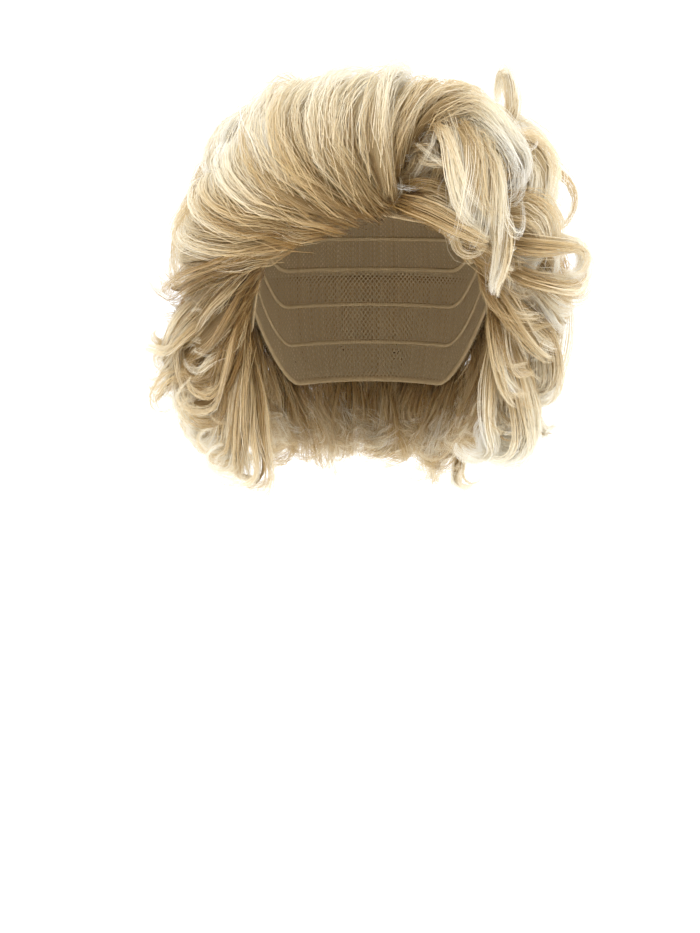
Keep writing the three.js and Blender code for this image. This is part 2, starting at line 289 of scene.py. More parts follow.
def on_head(az, el, lift):
    """Points over the head form, from angles in degrees and a lift in metres."""
    a, e = np.radians(az), np.radians(el)
    height = np.where(e > 0, HEAD_ABOVE, HEAD_BELOW)
    level = np.cos(e)
    radius = np.stack([
        HEAD_HALF_WIDTH * level * np.sin(a), -HEAD_HALF_LENGTH * level * np.cos(a), height * np.sin(e),
    ], -1)
    return HEAD_MIDDLE + radius * (1 + np.asarray(lift)[..., None] / length(radius))


def keep_lift(points, least):
    """Moves points that lie too close to the head form, or too far off it, to the least or most lift."""
    radius = points - HEAD_MIDDLE
    height = np.where(radius[..., 2:] > 0, HEAD_ABOVE, HEAD_BELOW)
    sizes = np.concatenate(np.broadcast_arrays(HEAD_HALF_WIDTH, HEAD_HALF_LENGTH, height), -1)
    lift = length(radius) * (1 - 1 / length(radius / sizes))
    return points + unit(radius) * (np.clip(lift, least, MOST_LIFT) - lift)


print("head girth", round(np.pi * (HEAD_HALF_WIDTH + HEAD_HALF_LENGTH), 3), "m")

# %% [markdown]
# The locks follow the same table as the solids. A row is a fan of locks between a first and a last one.
# Each lock leaves its root, rises over a crest, falls, and ends in a curl with a radius, a number of turns
# and a roll: 0 flips the tip outward and 180 turns it under. Angles are degrees and lengths millimetres.
# A table of so few numbers can be read and changed by hand, which a list of drawn curves can't. Tones and
# looseness are looks alone: paler or darker than the group, and neatly or loosely combed. Some darker
# tones are painted shade: the quiff's last locks and the right side under its overhang, and the low
# fringe lock that rolls under.

# %% Table of locks
LOCK_COLUMNS = [
    "root_az", "root_el", "crest_az", "crest_el", "crest_lift", "fall_az", "fall_el", "fall_lift",
    "curl_radius", "curl_turns", "curl_roll", "width", "thickness",
]
LENGTH_COLUMNS = ["crest_lift", "fall_lift", "curl_radius", "width", "thickness"]
FANS = [
    {"zone": "quiff", "locks": 2, "stray": 0, "tones": (0.10, 0.08),
     "first": [10, 34, 1, 40, 47, 16, 58, 34, 26, 0.34, 110, 44, 18],
     "last": [2, 31, -14, 38, 44, -2, 57, 34, 27, 0.34, 150, 42, 17]},
    # The last locks of this fan grow darker: painted shade under the quiff's overhang.
    {"zone": "quiff", "locks": 6, "stray": 0, "tones": (0.0, -0.20),
     "first": [-3, 30, -26, 33, 40, -33, 53, 36, 26, 0.34, 175, 38, 17],
     "last": [-41, 23, -62, 14, 27, -88, 11, 37, 18, 0.34, 180, 32, 15]},
    {"zone": "fringe", "locks": 2, "stray": 0,
     "first": [15, 38, 17, 46, 44, 36, 52, 30, 24, 0.3, 180, 26, 14],
     "last": [22, 41, 28, 46, 45, 54, 43, 37, 22, 0.34, 180, 26, 13]},
    {"zone": "fringe", "locks": 2, "stray": 0, "tones": (0.02, -0.02),
     "first": [32, 40, 34, 40, 46, 33, 24, 42, 14, 0.8, 67, 22, 11],
     "last": [38, 36, 42, 35, 43, 41, 22, 37, 13, 0.8, 107, 22, 10]},
    # Darker: painted shade on the underside of this low rolled lock.
    {"zone": "fringe", "locks": 1, "stray": 0, "tones": (-0.14, -0.14),
     "first": [13, 33, 23, 24.5, 24, 38, 16, 27, 12, 0.25, 217, 28, 14]},
    {"zone": "fringe", "locks": 1, "stray": 0,
     "first": [40, 24, 46, 20, 30, 49, 4, 20, 30, 0.04, 160, 14, 9]},
    {"zone": "crown", "locks": 1, "stray": 0, "loose": 0.15, "tones": (-0.14, -0.14),
     "first": [50, 57, 66, 41, 35, 70, 46, 60, 12, 0.62, 255, 16, 9]},
    {"zone": "crown", "locks": 8, "stray": 1, "tones": (0.06, 0.0),
     "first": [46, 72, 50, 54, 34, 60, 36, 44, 18, 0.42, 180, 52, 20],
     "last": [306, 72, 310, 54, 34, 320, 36, 44, 18, 0.42, 180, 52, 20]},
    {"zone": "left_side", "locks": 2, "stray": 0, "tones": (0.12, 0.12),
     "first": [51, 35, 64, 34, 42, 71, 23, 38, 13, 0.5, 180, 28, 13],
     "last": [52, 27, 63, 21, 33, 69, 14, 38, 12, 0.62, 180, 26, 12]},
    {"zone": "left_side", "locks": 2, "stray": 0,
     "first": [57, 20, 63, 13, 30, 74, 10, 53, 12, 0.62, 147, 18, 8],
     "last": [60, 13, 65, 4, 28, 73, 1, 49, 12, 0.3, 320, 18, 8]},
    {"zone": "left_side", "locks": 2, "stray": 0, "tones": (-0.12, -0.12),
     "first": [62, 9, 63, -2, 16, 74, -10, 34, 24, 0.08, 0, 26, 11],
     "last": [68, 0, 62, -12, 8, 69, -22, 24, 20, 0.1, 0, 20, 10]},
    {"zone": "left_side", "locks": 2, "stray": 0,
     "first": [74, 8, 81, 0, 27, 85, -5, 42, 9, 0.25, 0, 17, 9],
     "last": [78, 0, 84, -8, 34, 86, -15, 47, 15, 0.62, 155, 26, 11]},
    {"zone": "left_side", "locks": 2, "stray": 0, "tones": (0.32, 0.16),
     "first": [76, -6, 79, -20, 25, 82, -28, 42, 19, 0.6, 162, 40, 13],
     "last": [73, -5, 68, -25, 10, 73, -34, 24, 15, 0.44, 164, 28, 12]},
    {"zone": "left_side", "locks": 1, "stray": 0,
     "first": [94, 0, 98, -24, 40, 99, -26, 62, 14, 0.12, 0, 9, 6]},
    {"zone": "left_side", "locks": 3, "stray": 1, "tones": (0.08, 0.0),
     "first": [66, 44, 78, 32, 32, 88, 18, 36, 13, 0.45, 180, 42, 17],
     "last": [104, 40, 106, 24, 32, 110, 6, 44, 15, 0.5, 180, 42, 17]},
    {"zone": "left_side", "locks": 2, "stray": 1,
     "first": [94, 16, 97, 0, 34, 100, -14, 50, 14, 0.5, 180, 38, 13],
     "last": [105, 2, 106, -14, 32, 108, -28, 48, 14, 0.5, 180, 36, 13]},
    # The next two fans are darker: painted shade under the quiff's overhang.
    {"zone": "right_side", "locks": 2, "stray": 0, "tones": (-0.16, -0.16),
     "first": [-49, 19, -64, 9, 24, -93, 0, 44, 11, 0.3, 0, 24, 11],
     "last": [-55, 15, -66, 2, 18, -92, -6, 42, 11, 0.28, 0, 22, 11]},
    {"zone": "right_side", "locks": 2, "stray": 0, "tones": (-0.16, -0.10),
     "first": [-60, 10, -68, -4, 18, -89, -12, 41, 14, 0.55, 20, 24, 12],
     "last": [-66, 3, -68, -12, 16, -79, -22, 32, 13, 0.55, 15, 24, 12]},
    {"zone": "right_side", "locks": 2, "stray": 0, "loose": 0.9, "tones": (0.02, 0.06),
     "first": [-71, -3, -68, -22, 15, -82, -37, 40, 12, 0.55, 200, 20, 10],
     "last": [-75, -5, -68, -28, 9, -71, -43, 25, 22, 0.28, 18, 13, 8]},
    {"zone": "right_side", "locks": 3, "stray": 0, "tones": (0.06, 0.10),
     "first": [-72, 6, -86, -6, 33, -91, -11, 56, 13, 0.5, 160, 22, 11],
     "last": [-80, -4, -91, -18, 40, -93, -25, 55, 15, 0.36, 170, 22, 11]},
    {"zone": "right_side", "locks": 1, "stray": 0,
     "first": [-87, 2, -95, -12, 46, -96, -17, 66, 10, 0.3, 0, 18, 10]},
    {"zone": "right_side", "locks": 3, "stray": 1,
     "first": [-66, 44, -80, 34, 32, -92, 20, 37, 13, 0.45, 180, 42, 17],
     "last": [-104, 40, -106, 24, 32, -110, 6, 44, 15, 0.5, 180, 42, 17]},
    {"zone": "right_side", "locks": 2, "stray": 1,
     "first": [-94, 16, -97, 0, 34, -100, -14, 50, 14, 0.5, 180, 38, 13],
     "last": [-105, 2, -106, -14, 32, -108, -28, 48, 14, 0.5, 180, 36, 13]},
    {"zone": "back", "locks": 5, "stray": 1,
     "first": [116, 42, 120, 26, 34, 126, 8, 46, 15, 0.5, 180, 48, 18],
     "last": [242, 42, 246, 26, 34, 252, 8, 46, 17, 0.5, 180, 40, 16]},
    {"zone": "back", "locks": 5, "stray": 1,
     "first": [118, 19, 114, 4, 32, 108, -9, 46, 15, 0.5, 170, 46, 18],
     "last": [244, 19, 240, 4, 32, 234, -9, 46, 15, 0.5, 170, 46, 18]},
    {"zone": "nape", "locks": 5, "stray": 1,
     "first": [116, -4, 120, -16, 28, 126, -28, 44, 14, 0.5, 180, 44, 17],
     "last": [242, -4, 246, -16, 28, 252, -28, 44, 16, 0.5, 180, 36, 15]},
    {"zone": "nape", "locks": 4, "stray": 1,
     "first": [134, -21, 131, -32, 20, 128, -41, 28, 13, 0.55, 180, 46, 15],
     "last": [226, -21, 229, -32, 20, 232, -41, 28, 16, 0.5, 180, 34, 13]},
    {"zone": "nape", "locks": 1, "stray": 0,
     "first": [127, -22, 122, -40, 24, 120, -49, 34, 10, 0.45, 60, 9, 7]},
    {"zone": "crown", "locks": 2, "stray": 0, "loose": 0.8, "tones": (-0.02, -0.02),
     "first": [-30, 75, -28, 65, 26, -24, 53, 30, 16, 0.35, 180, 44, 16],
     "last": [18, 75, 20, 65, 26, 24, 53, 30, 16, 0.35, 180, 44, 16]},
]
print(len(FANS), "fans")

# %% [markdown]
# A fan is opened into single locks in equal steps from its first row to its last. Rows of hair that aren't
# styled one by one also stray a little, by a rule that always gives the same numbers, so that the locks
# here are those of the solids. A random draw would need the same generator in both places.

# %% Fans opened into locks
STRAY = {
    "root_el": 3, "crest_az": 5, "crest_el": 4, "crest_lift": 4, "fall_az": 7, "fall_el": 4, "fall_lift": 5,
    "curl_radius": 2, "curl_turns": 0.06, "curl_roll": 12,
}
LOCKS_PER_FAN = 10
LOCK_RATE = 12.9898
COLUMN_RATE = 78.233
STRAY_SPREAD = 43758.5453
COLUMN = {name: place for place, name in enumerate(LOCK_COLUMNS)}
ZONE_LOOSENESS = {
    "quiff": 0.55, "fringe": 0.55, "crown": 0.85, "left_side": 1.1, "right_side": 1.1, "back": 1.1,
    "nape": 1.0,
}
NEAT_LOOSENESS = {
    "quiff": 0.5, "fringe": 0.5, "crown": 0.3, "left_side": 0.55, "right_side": 1.0, "nape": 0.5,
}


def stray(lock, column):
    """Repeatable number from -1 to 1 for one lock and one of its columns."""
    wave = math.sin(lock * LOCK_RATE + column * COLUMN_RATE) * STRAY_SPREAD
    return 2 * (wave - math.floor(wave)) - 1


def comb_locks(fans):
    """Rows of the table for every single lock, lengths in metres, with its zone, looseness and tone."""
    rows, zones, loose, tones = [], [], [], []
    for place, fan in enumerate(fans):
        first = np.array(fan["first"], float)
        last = np.array(fan.get("last", fan["first"]), float)
        pale, dark = fan.get("tones", (0.0, 0.0))
        for k in range(fan["locks"]):
            share = k / max(fan["locks"] - 1, 1)
            row = first + (last - first) * share
            lock = LOCKS_PER_FAN * place + k
            for name, amount in STRAY.items():
                row[COLUMN[name]] += fan["stray"] * amount * stray(lock, COLUMN[name])
            rows.append(row)
            zones.append(fan["zone"])
            usual = ZONE_LOOSENESS if fan["stray"] else NEAT_LOOSENESS
            loose.append(fan.get("loose", usual.get(fan["zone"])))
            tones.append(pale + (dark - pale) * share)
    rows = np.array(rows)
    rows[:, [COLUMN[name] for name in LENGTH_COLUMNS]] *= MM
    return rows, np.array(zones), np.array(loose), np.array(tones)


lock_rows, lock_zones, lock_loose, lock_tones = comb_locks(FANS)
print(len(lock_rows), "locks")

# %% [markdown]
# Fine hair has no body of its own, so it isn't in the solids. Thin layers lie between the locks and
# close their sweep, and a whorl covers the top. Short hair covers the bound rim along the hairline, a
# knot of frizz sits in the hollow where the sweep to the right parts from the fringe, and open curls hang
# low on the right side. Fine hair takes the same columns as the locks and becomes strands only.

# %% Fine hair
FINE_FANS = [
    {"zone": "quiff", "locks": 2, "stray": 0, "loose": 0.9, "tones": (0.40, 0.42),
     "first": [7, 33, -6, 39, 45, 7, 58, 34, 26, 0.36, 130, 36, 12],
     "last": [0, 31, -20, 36, 41, -17, 56, 36, 26, 0.36, 165, 36, 12]},
    {"zone": "quiff", "locks": 5, "stray": 0, "loose": 0.9, "tones": (0.42, 0.26),
     "first": [-7, 29, -30, 31, 38, -38, 49, 36, 25, 0.36, 176, 30, 12],
     "last": [-37, 24, -58, 16, 29, -82, 15, 37, 19, 0.36, 180, 28, 12]},
    {"zone": "quiff", "locks": 1, "stray": 0, "loose": 0.9, "tones": (0.38, 0.38),
     "first": [11, 35, 6, 42, 43, 27, 56, 34, 24, 0.36, 125, 26, 12]},
    {"zone": "quiff", "locks": 8, "stray": 0, "loose": 1.0,
     "first": [14, 28.4, 4, 34, 13, -8, 44, 22, 20, 0.1, 180, 18, 4],
     "last": [-46, 17, -56, 12, 12, -72, 8, 24, 20, 0.1, 180, 18, 4]},
    {"zone": "fringe", "locks": 3, "stray": 0, "loose": 0.9, "tones": (0.34, 0.40),
     "first": [16, 38, 22, 47, 42, 46, 49, 36, 22, 0.36, 180, 26, 14],
     "last": [26, 42, 33, 46, 44, 55, 38, 40, 20, 0.4, 180, 26, 12]},
    {"zone": "fringe", "locks": 3, "stray": 0, "loose": 0.9, "tones": (0.42, 0.40),
     "first": [29, 41, 31, 42, 44, 30, 26, 40, 14, 0.7, 60, 24, 12],
     "last": [40, 37, 45, 36, 41, 45, 22, 38, 13, 0.7, 112, 24, 12]},
    {"zone": "fringe", "locks": 5, "stray": 0, "loose": 1.0,
     "first": [12, 28.4, 18, 30, 10, 28, 24, 18, 12, 0.3, 180, 16, 4],
     "last": [46, 17, 52, 13, 12, 60, 6, 20, 12, 0.3, 180, 16, 4]},
    {"zone": "fringe", "locks": 6, "stray": 1, "loose": 2.0, "tones": (0.20, 0.26),
     "first": [14, 38, 15, 43, 16, 21, 47, 20, 8, 0.6, 180, 14, 8],
     "last": [28, 34, 27, 38, 18, 33, 36, 22, 7, 0.7, 210, 14, 8]},
    {"zone": "crown", "locks": 10, "stray": 1, "loose": 0.9, "tones": (0.26, 0.26),
     "first": [0, 86, 18, 73, 9, 32, 56, 22, 20, 0.1, 180, 26, 5],
     "last": [324, 86, 342, 73, 9, 356, 56, 22, 20, 0.1, 180, 26, 5]},
    {"zone": "crown", "locks": 6, "stray": 1, "loose": 0.9, "tones": (0.34, 0.34),
     "first": [96, 70, 100, 54, 28, 110, 37, 36, 18, 0.42, 180, 40, 14],
     "last": [288, 70, 292, 54, 28, 302, 37, 36, 18, 0.42, 180, 40, 14]},
    {"zone": "right_side", "locks": 6, "stray": 0, "loose": 1.0,
     "first": [-49, 15, -60, 8, 12, -78, 2, 26, 14, 0.2, 0, 16, 4],
     "last": [-74, -9, -74, -20, 11, -80, -30, 24, 12, 0.3, 0, 16, 4]},
    {"zone": "left_side", "locks": 6, "stray": 0, "loose": 1.0,
     "first": [49, 15, 56, 8, 12, 66, 0, 22, 14, 0.2, 0, 16, 4],
     "last": [74, -9, 71, -20, 10, 74, -30, 20, 12, 0.3, 0, 16, 4]},
    {"zone": "left_side", "locks": 2, "stray": 0, "loose": 0.6, "tones": (0.46, 0.46),
     "first": [76, -6, 78, -19, 23, 81, -27, 38, 12, 0.75, 162, 36, 12],
     "last": [77, -6, 80, -20, 28, 84, -27, 44, 15, 0.7, 162, 30, 12]},
    {"zone": "left_side", "locks": 4, "stray": 1,
     "first": [84, -8, 85, -22, 12, 88, -34, 20, 12, 0.5, 180, 30, 6],
     "last": [108, -8, 109, -22, 13, 112, -36, 22, 12, 0.5, 180, 30, 6]},
    {"zone": "right_side", "locks": 4, "stray": 1,
     "first": [-84, -8, -85, -22, 12, -88, -34, 20, 12, 0.5, 180, 30, 6],
     "last": [-108, -8, -109, -22, 13, -112, -36, 22, 12, 0.5, 180, 30, 6]},
    {"zone": "left_side", "locks": 4, "stray": 1,
     "first": [100, -2, 101, -14, 9, 103, -28, 14, 11, 0.4, 180, 30, 6],
     "last": [126, -24, 126, -34, 9, 127, -46, 14, 11, 0.4, 180, 30, 6]},
    {"zone": "right_side", "locks": 4, "stray": 1,
     "first": [-100, -2, -101, -14, 9, -103, -28, 14, 11, 0.4, 180, 30, 6],
     "last": [-126, -24, -126, -34, 9, -127, -46, 14, 11, 0.4, 180, 30, 6]},
    {"zone": "nape", "locks": 8, "stray": 1,
     "first": [114, -14, 115, -26, 10, 117, -37, 18, 11, 0.5, 180, 34, 6],
     "last": [246, -14, 245, -26, 10, 243, -37, 18, 11, 0.5, 180, 34, 6]},
    {"zone": "nape", "locks": 6, "stray": 1, "tones": (0.06, 0.06),
     "first": [132, -27, 133, -36, 9, 135, -46, 16, 11, 0.4, 180, 34, 6],
     "last": [228, -27, 227, -36, 9, 225, -46, 16, 11, 0.4, 180, 34, 6]},
    {"zone": "right_side", "locks": 4, "stray": 0, "loose": 0.5, "tones": (0.30, 0.22),
     "first": [-79, -6, -83, -20, 28, -90, -25, 44, 11, 0.75, 25, 14, 6],
     "last": [-72, -6, -71, -27, 18, -79, -39, 37, 11, 0.75, 25, 12, 6]},
]
fine_rows, fine_zones, fine_loose, fine_tones = comb_locks(FINE_FANS)
print(len(fine_rows), "fine wisps")

# %% [markdown]
# Hair that is combed up and over falls in a smooth arch, so the middle line of a lock is a cubic Bezier
# from root to fall, and its curl is a spiral that starts in the direction in which the arch ends. All
# lines are worked out at once as one array. A frame is carried along each line without twist, because a
# flat lock that is combed doesn't turn over by itself.

# %% Lines of the locks
ROUND_ARCH = 9
CURL_SHRINK = 0.25
CURL_PITCH = 0.35
ARCH_STEPS = 4


def arch(root, rise, fall, share):
    """Points of the combed arch at the given shares of its way."""
    chord = fall - root
    lean = np.minimum(1 / 3, length(chord) / (ROUND_ARCH * length(rise)))
    one = root + rise + chord * lean
    two = fall + rise - chord * lean
    t = share[..., None]
    ends = (1 - t) ** 3 * root[:, None] + t ** 3 * fall[:, None]
    return ends + 3 * t * (1 - t) ** 2 * one[:, None] + 3 * t ** 2 * (1 - t) * two[:, None]


def carry(points, first_normal):
    """Directions, normals and sides along lines of points, with no twist."""
    along = unit(np.gradient(points, axis=1))
    normal = np.empty_like(points)
    now = first_normal
    for step in range(points.shape[1]):
        now = unit(now - (now * along[:, step]).sum(-1, keepdims=True) * along[:, step])
        normal[:, step] = now
    return along, normal, np.cross(normal, along)


def lock_lines(rows, steps):
    """Points along the middle lines of locks, (locks, steps, 3), and the first normal of each."""
    get = {name: rows[:, place] for name, place in COLUMN.items()}
    root = on_head(get["root_az"], get["root_el"], np.full(len(rows), SEAT_LIFT))
    crest = on_head(get["crest_az"], get["crest_el"], get["crest_lift"])
    fall = on_head(get["fall_az"], get["fall_el"], get["fall_lift"])
    rise = (crest - (root + fall) / 2) * 4 / 3
    coarse = arch(root, rise, fall, np.tile(np.linspace(0, 1, ARCH_STEPS + 1), (len(rows), 1)))
    outward = unit(root - HEAD_MIDDLE)
    first_normal = outward + 1e-3 * unit(np.cross(coarse[:, 1] - root, outward))
    along, normal, _ = carry(coarse, first_normal)
    along, normal = along[:, -1], normal[:, -1]
    roll = np.radians(get["curl_roll"])[:, None]
    inward = normal * np.cos(roll) + np.cross(along, normal) * np.sin(roll)
    pitch = np.cross(along, inward)
    arch_length = length(np.diff(coarse, axis=1)).sum(1)
    radius, turns = get["curl_radius"][:, None], get["curl_turns"][:, None]
    split = arch_length / (arch_length + 2 * np.pi * turns * radius * (1 - CURL_SHRINK / 2))
    share = np.linspace(0, 1, steps)[None, :]
    points = arch(root, rise, fall, np.clip(share / split, 0, 1))
    wound = np.clip((share - split) / (1 - split), 0, 1)
    angle = 2 * np.pi * turns * wound
    reach = radius * (1 - CURL_SHRINK * wound)
    points = points + along[:, None] * (reach * np.sin(angle))[..., None]
    points = points + inward[:, None] * (reach * (1 - np.cos(angle)))[..., None]
    points = points + pitch[:, None] * (CURL_PITCH * radius * turns * wound)[..., None]
    for _ in range(2):
        points[:, 1:-1] = (points[:, :-2] + 2 * points[:, 1:-1] + points[:, 2:]) / 4
    return points, first_normal


lock_points, _ = lock_lines(lock_rows, 24)
lock_lengths = length(np.diff(lock_points, axis=1)).sum(1).ravel()
print("locks from", round(lock_lengths.min(), 3), "to", round(lock_lengths.max(), 3), "m long")

# %% [markdown]
# Blond fibre isn't one colour. It is brown-gold at the root, straw in the middle and nearly white at the
# tip; the dark root is partly the fibre's own colour and partly painted shade where roots lie deep under
# the hair. Locks and strands differ in tone, more at the tip than at the root. The finish reads three
# numbers that every point carries: how far along the strand it is, the tone of its strand, and its place
# across the lock, which feeds fine streaks. Painted pictures could hold these colours too, but numbers fit
# every strand without a map. Some light passes through the fibre, so a translucent shader is mixed in.

# %% Blond fibre
ROOT_BROWN = rgb(0.10, 0.055, 0.018)
TAN = rgb(0.39, 0.235, 0.078)
STRAW = rgb(0.70, 0.55, 0.31)
PALE = rgb(0.90, 0.83, 0.66)
NEAR_WHITE = rgb(0.95, 0.925, 0.85)
SHADED_ROOT_LIGHT = 0.10
TIP_GAIN = 0.79
TIP_CURVE = 0.72
TONE_AT_ROOT = 0.40
TONE_GAIN = 0.70
STREAK_LENGTH = 0.6
STREAK_SHIFT = 40
LIGHT_THROUGH = 0.38


def blond_fibre(name, streak_contrast, streak_bump):
    """Fibre from root brown, partly painted shade, to pale tip, with streaks of the given contrast and
    relief.
    """
    finish, start = new_finish(name)
    along = start.node("Attribute", {"attribute_name": "along"}, {}).output("Fac")
    tone = start.node("Attribute", {"attribute_name": "tone"}, {}).output("Fac")
    across = start.node("Attribute", {"attribute_name": "across"}, {}).output("Fac")
    place = start.node("CombineXYZ", {}, {0: across, 1: along * STREAK_LENGTH, 2: tone * STREAK_SHIFT})
    streak = start.node("TexNoise", {}, {"Vector": place, "Scale": 1.0, "Detail": 4.0, "Roughness": 0.65})
    paler = (tone - 0.5) * (TONE_AT_ROOT + TONE_GAIN * along)
    # The dark root end is partly the fibre's own colour and partly painted shade where roots lie deep.
    light = SHADED_ROOT_LIGHT + TIP_GAIN * along ** TIP_CURVE + paler + streak_contrast * (streak - 0.5)
    colour = start.node("ValToRGB", {"stops": [
        (0.0, ROOT_BROWN), (0.25, TAN), (0.5, STRAW), (0.75, PALE), (1.0, NEAR_WHITE)]}, {"Fac": light})
    bump = start.node("Bump", {}, {"Height": streak, "Strength": streak_bump, "Distance": 0.0012})
    satin = start.node("BsdfPrincipled", {}, {
        "Base Color": colour, "Roughness": 0.42 - 0.12 * (streak - 0.5), "Normal": bump,
        "Specular IOR Level": 0.5})
    glow = start.node("BsdfTranslucent", {}, {"Color": colour, "Normal": bump})
    mixed = start.node("MixShader", {}, {0: LIGHT_THROUGH, 1: satin, 2: glow})
    start.node("OutputMaterial", {}, {"Surface": mixed})
    return finish


lock_finish = blond_fibre("blond_lock", 1.3, 0.8)
strand_finish = blond_fibre("blond_strand", 0.5, 0.0)
print("finishes:", lock_finish.name, strand_finish.name)

# %% [markdown]
# A tube is swept along each line with a flat section. The helpers sweep all tubes of a group in one go.
# The section lies in the side and normal directions of the carried frame, so a wide lock stays flat on
# the arch. Skin modifiers or bevelled curves could do this too, but they would give round sections.

# %% Swept tubes
ROOT_OPENING = 0.55
OPENING_RATE = 1.6
CLOSING_FROM = 0.6
CLOSING_CURVE = 1.5


def tube_faces(tubes, rings, sides):
    """Side quads and end faces of tubes whose points run tube by tube and ring by ring."""
    start = (np.arange(tubes) * rings * sides)[:, None, None]
    quads = (grid_faces(rings, sides, True)[None] + start).reshape(-1, 4)
    ends = np.stack([np.arange(sides)[::-1], (rings - 1) * sides + np.arange(sides)])
    return [quads, (ends[None] + start).reshape(-1, sides)]


def tube_points(points, normal, side, half_width, half_thickness, shape):
    """Rings round lines of points. shape holds a factor for each side, or for each tube, ring and side."""
    shape = np.broadcast_to(shape, points.shape[:2] + shape.shape[-1:])
    angle = 2 * np.pi * np.arange(shape.shape[-1]) / shape.shape[-1]
    wide = shape * np.cos(angle) * half_width[..., None]
    thick = shape * np.sin(angle) * half_thickness[..., None]
    return points[:, :, None] + side[:, :, None] * wide[..., None] + normal[:, :, None] * thick[..., None]


def taper(share, tip):
    """Narrow at the root, full in the middle and drawn out to the tip."""
    opening = np.minimum(1, ROOT_OPENING + OPENING_RATE * share)
    closing = np.maximum(0, (share - CLOSING_FROM) / (1 - CLOSING_FROM))
    return opening * (1 - (1 - tip) * closing ** CLOSING_CURVE)


def at_each_point(numbers, shape):
    """The named numbers, each repeated for every point of an array of the given shape."""
    return {name: np.broadcast_to(values, shape) for name, values in numbers.items()}


print("a tube of 24 rings and 8 sides has", triangles(tube_faces(1, 24, 8)), "triangles")

# %% [markdown]
# The body of a lock is a slimmer copy of its solid with grooves combed into it and half of its curl. It
# fills the inside, so that no gap shows between the wisps. It is darker than they are and never as pale as
# a tip, as painted shade of the gaps between them. The grooves follow the hair because they are bumps of
# the section, the same at each ring.

# %% Lock bodies
BODY_SHARE = 0.58
BODY_CURL = 0.5
BODY_TIP = 0.12
THINNING = 0.5
BODY_RINGS = 22
BODY_SIDES = 16
GROOVE_DEPTH = 0.10
GROOVES = 7
BODY_ALONG = 0.65
BODY_PAINTED_SHADE = 0.2
STREAKS_PER_MM = 2
TONE_SHIFT = 50
random = np.random.default_rng(7)


def lock_bodies(rows, tones):
    """Points of the grooved bodies, (locks, rings, sides, 3), and the numbers for their finish."""
    core = rows.copy()
    core[:, COLUMN["curl_turns"]] *= BODY_CURL
    points, first_normal = lock_lines(core, BODY_RINGS)
    _, normal, side = carry(points, first_normal)
    share = np.linspace(0, 1, BODY_RINGS)[None, :]
    shrink = taper(share, BODY_TIP) * BODY_SHARE / 2
    half_width = rows[:, [COLUMN["width"]]] * shrink
    half_thickness = rows[:, [COLUMN["thickness"]]] * shrink * (1 - THINNING * share)
    angle = 2 * np.pi * np.arange(BODY_SIDES) / BODY_SIDES
    phase = random.uniform(0, 2 * np.pi, (len(rows), 1, 1))
    shape = 1 + GROOVE_DEPTH * np.cos(GROOVES * angle + phase) * np.ones((1, BODY_RINGS, 1))
    made = tube_points(points, normal, side, half_width, half_thickness, shape)
    made = keep_lift(made, SEAT_LIFT)
    across = STREAKS_PER_MM * np.cos(angle) * rows[:, [COLUMN["width"]]][..., None] / MM
    # The body's colour is darker than its wisps and stops short of the pale tip: painted shade of the gaps.
    numbers = {
        "along": BODY_ALONG * share[..., None],
        "tone": tones[:, None, None] - BODY_PAINTED_SHADE,
        "across": across + TONE_SHIFT * tones[:, None, None],
    }
    return made, at_each_point(numbers, made.shape[:3])


body_points, _ = lock_bodies(lock_rows, np.full(len(lock_rows), 0.5))
print("bodies:", body_points.shape[0], "with", triangles(tube_faces(*body_points.shape[:3])), "triangles")

# %% [markdown]
# A combed lock falls into flat wisps, each with a slightly different way and curl. So every lock is split
# into rows of the same columns that stray from it a little, more where the hair is loose. Noise on the
# finished points would tear a curl apart, while a row that strays still gives a smooth line.

# %% Wisps
WISP_WIDTH = 3.6 * MM
WISPS_PER_LOCK = (6, 14)
WISP_STRAY = {
    "root_az": 1.0, "root_el": 1.0, "crest_az": 1.8, "crest_el": 1.8, "crest_lift": 1.8 * MM,
    "fall_az": 2.4, "fall_el": 2.4, "fall_lift": 2.4 * MM, "curl_roll": 14,
}
WISP_STRETCH = {"curl_radius": 0.12, "curl_turns": 0.14}
FARTHEST_STRAY = 1.6


def small_strays(amount, count):
    """Random strays with the given usual amount, none of them far out."""
    return amount * np.clip(random.normal(0, 1, count), -FARTHEST_STRAY, FARTHEST_STRAY)


def wisp_rows(rows, looseness):
    """Rows of the wisps, each one's lock and its place across that lock from -1 to 1."""
    counts = np.clip(np.round(rows[:, COLUMN["width"]] / WISP_WIDTH), *WISPS_PER_LOCK).astype(int)
    owner = np.repeat(np.arange(len(rows)), counts)
    order = np.concatenate([(np.arange(count) + 0.5) / count for count in counts]) * 2 - 1
    wisps = rows[owner].copy()
    for name, amount in WISP_STRAY.items():
        wisps[:, COLUMN[name]] += looseness[owner] * small_strays(amount, len(owner))
    for name, amount in WISP_STRETCH.items():
        wisps[:, COLUMN[name]] *= np.exp(looseness[owner] * small_strays(amount, len(owner)))
    return wisps, owner, order


print("wisps stray by", WISP_STRAY)

# %% [markdown]
# The wisps of a lock lie side by side on its body, most of them on top and some below, and come together
# at the root and at the tip, as hair does in a curl. Neighbours share the long waves of their lock, and
# broad paler streaks run over them. Wisps below are a little darker than those on top, as painted shade.
# Each becomes a smooth line with a carried frame, for strands to follow.

# %% Lay of the wisps
LINE_STEPS = 36
SPREAD_WIDE = 0.88
SPREAD_THICK = 0.8
GATHERED_TIP = 0.3
DEPTHS = (0.5, 1.05)
UNDER_SHARE = 0.3
WAVE_HEIGHT = 4.6 * MM
WAVE_FLATNESS = 0.6
WAVES = (1.2, 2.1)
WAVE_DELAY = 0.06
WISP_CLEARANCE = 0.6 * MM
WISP_FULLNESS = (0.6, 1.9)
STREAKS = (0.5, 1.1)
STREAK_TONE = 0.12
DEPTH_PAINTED_SHADE = 0.05
WISP_TONE = 0.045
TIP_FRAY = (0.05, 0.22)


